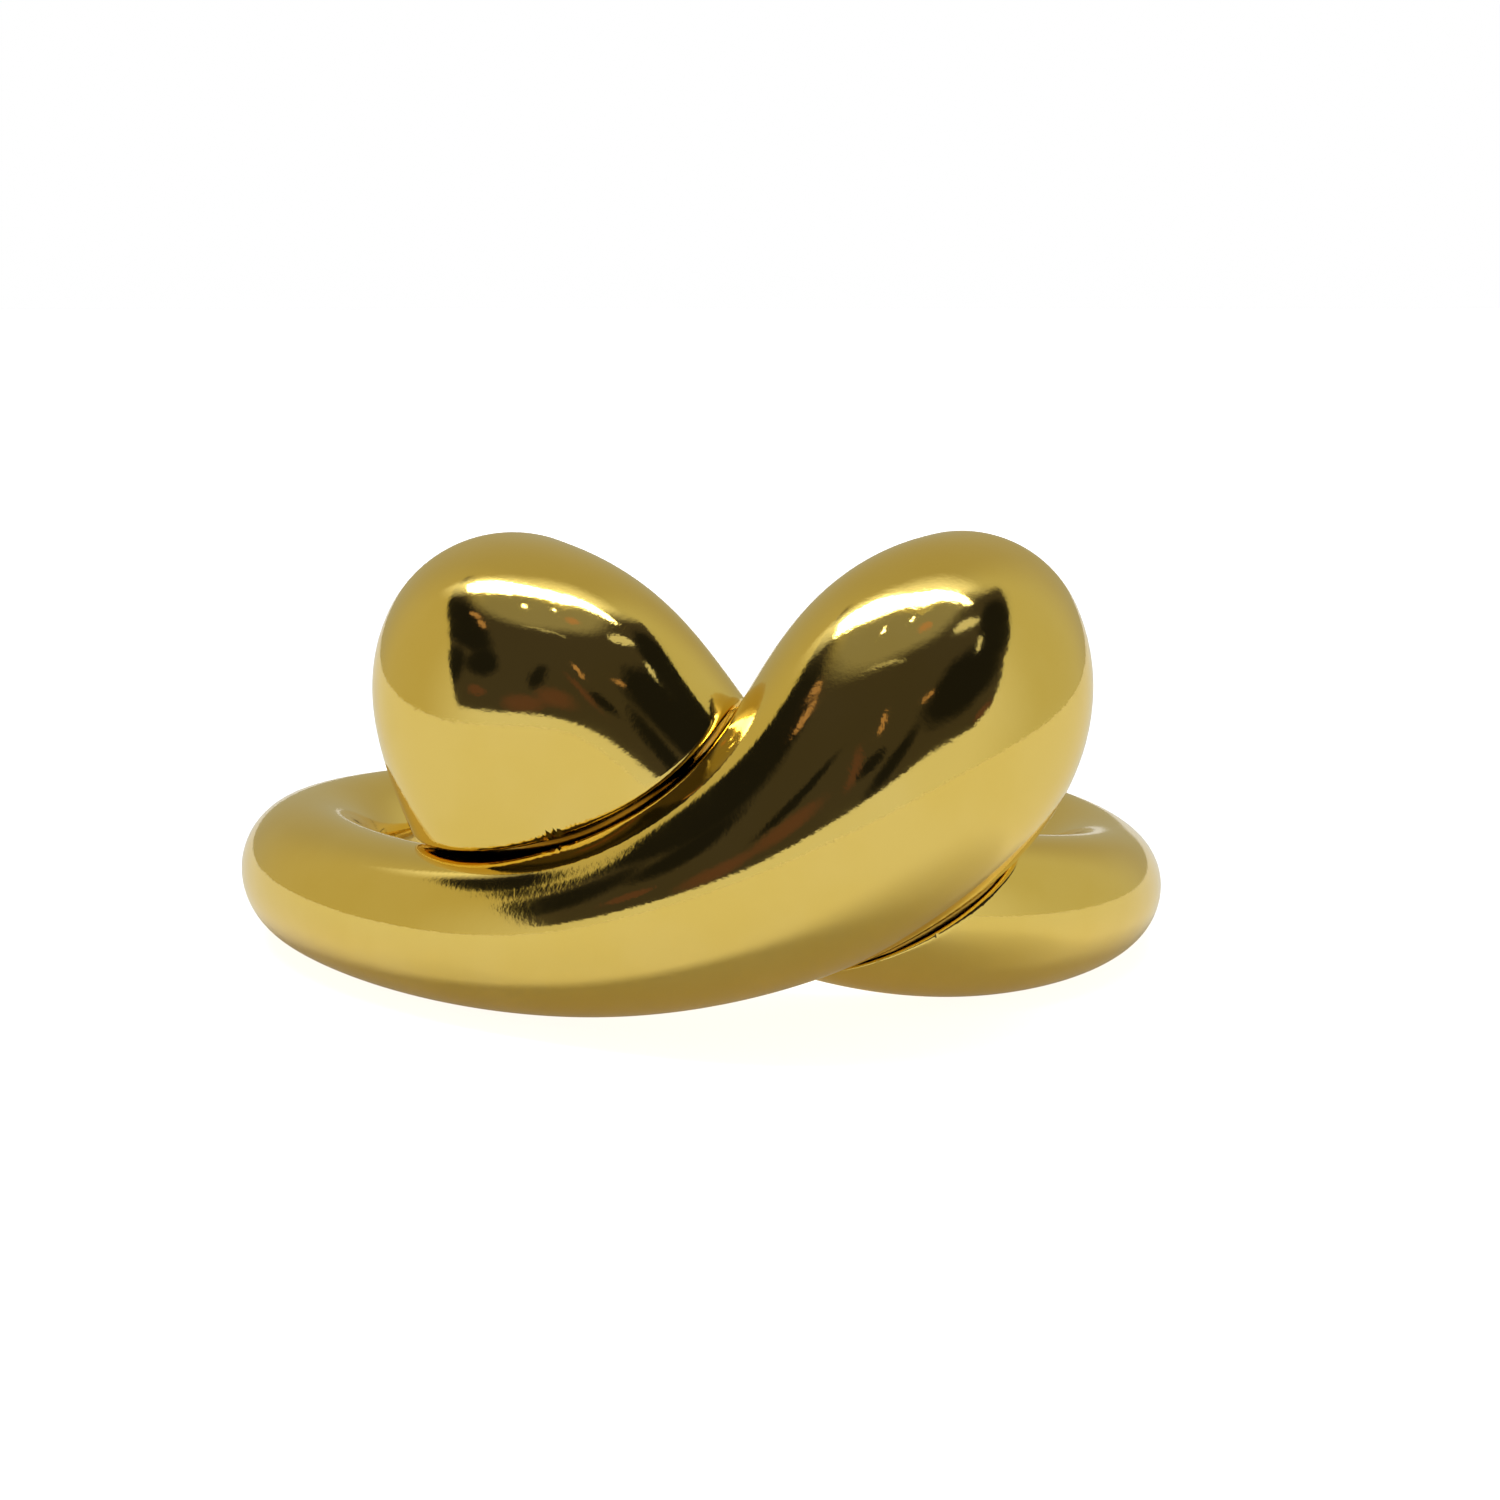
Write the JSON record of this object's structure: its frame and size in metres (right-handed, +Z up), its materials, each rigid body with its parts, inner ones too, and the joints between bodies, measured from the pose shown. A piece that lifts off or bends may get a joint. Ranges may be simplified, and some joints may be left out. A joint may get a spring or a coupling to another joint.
{
  "type": "take-apart ring puzzle",
  "caption": "Polished gold ring puzzle: two tapered hooks share one ring, cross at the front into a heart of rounded lobes, and pull apart along a hidden dovetail key.",
  "frame": {"origin": "the ring's axis, on the plane that the ring rests on", "axes": "+Z up along the ring's axis, -Y towards the crossing and its heart, +X to the right seen from the crossing"},
  "size_m": [0.0553, 0.0593, 0.0257],
  "materials": {
    "gold_plate": "mirror polished gold plate"
  },
  "bodies": {
    "rear_hook": {"rear_hook": "gold_plate"},
    "front_hook": {"front_hook": "gold_plate"}
  },
  "joints": [
    {"name": "pull_apart", "type": "slide", "parent": "rear_hook", "child": "front_hook", "axis": [0, -1, 0], "range_m": [0, 0.06]}
  ]
}
